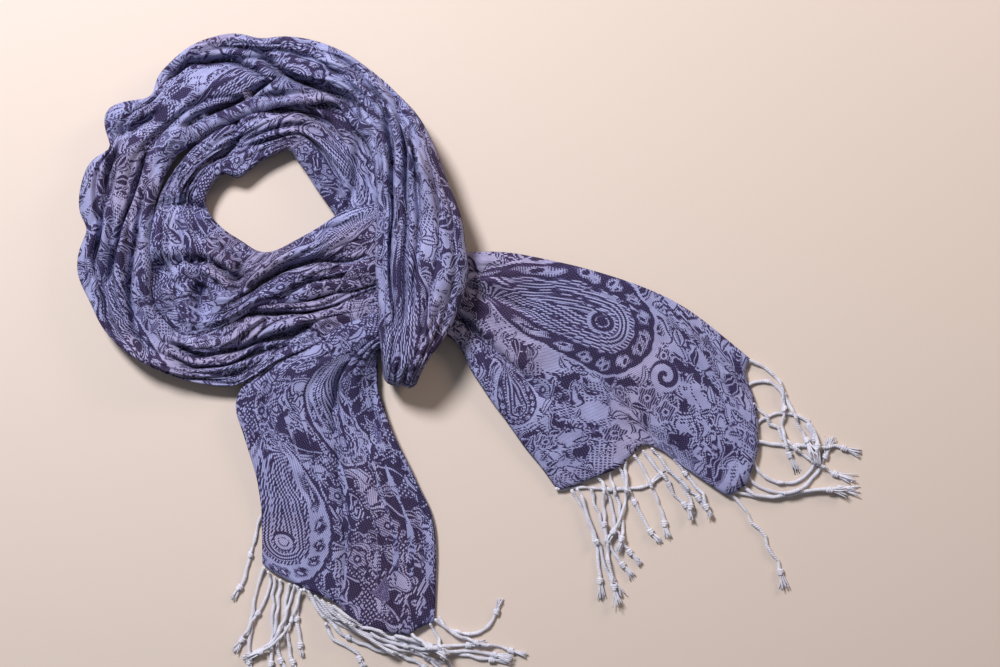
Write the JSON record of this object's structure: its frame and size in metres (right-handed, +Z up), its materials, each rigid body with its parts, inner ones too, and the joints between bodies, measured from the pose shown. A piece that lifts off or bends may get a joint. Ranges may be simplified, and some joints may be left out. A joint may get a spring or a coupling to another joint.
{
  "type": "fringed scarf",
  "caption": "Long woven jacquard scarf with paisley pattern and knotted fringe, tied in a slip knot and laid flat as a ring with two tails.",
  "frame": {"origin": "middle of the laid scarf's footprint, on the surface it lies on", "axes": "+X to the right-hand tail, along the longest side; +Y to the top of the ring, away from the lower tail; +Z up from the surface"},
  "size_m": [0.5807, 0.4902, 0.0503],
  "materials": {
    "jacquard": "soft two-tone jacquard twill, lavender grey on dark slate",
    "fringe": "two-ply twisted cord, pale lilac grey, knotted and brushed out at the end"
  },
  "bodies": {
    "root": {"right_tail": "jacquard", "lower_tail": "jacquard", "tail_strand": "jacquard", "lower_cross_band": "jacquard", "outer_left_wrap": "jacquard", "top_wrap": "jacquard", "over_wrap": "jacquard", "bight_turn": "jacquard", "inner_right_wrap": "jacquard", "inner_left_wrap": "jacquard", "upper_cross_band": "jacquard", "crossing_strand": "jacquard", "right_tassel_01": "fringe", "right_tassel_02": "fringe", "right_tassel_03": "fringe", "right_tassel_04": "fringe", "right_tassel_05": "fringe", "right_tassel_06": "fringe", "right_tassel_07": "fringe", "right_tassel_08": "fringe", "right_tassel_09": "fringe", "right_tassel_10": "fringe", "right_tassel_11": "fringe", "right_tassel_12": "fringe", "right_tassel_13": "fringe", "right_tassel_14": "fringe", "right_tassel_15": "fringe", "right_tassel_16": "fringe", "right_tassel_17": "fringe", "right_tassel_18": "fringe", "right_tassel_19": "fringe", "right_tassel_20": "fringe", "right_tassel_21": "fringe", "right_tassel_22": "fringe", "right_tassel_23": "fringe", "right_tassel_24": "fringe", "lower_tassel_01": "fringe", "lower_tassel_02": "fringe", "lower_tassel_03": "fringe", "lower_tassel_04": "fringe", "lower_tassel_05": "fringe", "lower_tassel_06": "fringe", "lower_tassel_07": "fringe", "lower_tassel_08": "fringe", "lower_tassel_09": "fringe", "lower_tassel_10": "fringe", "lower_tassel_11": "fringe", "lower_tassel_12": "fringe", "lower_tassel_13": "fringe", "lower_tassel_14": "fringe", "lower_tassel_15": "fringe", "lower_tassel_16": "fringe", "lower_tassel_17": "fringe", "lower_tassel_18": "fringe", "lower_tassel_19": "fringe", "lower_tassel_20": "fringe", "lower_tassel_21": "fringe", "lower_tassel_22": "fringe", "lower_tassel_23": "fringe", "lower_tassel_24": "fringe"}
  },
  "joints": []
}
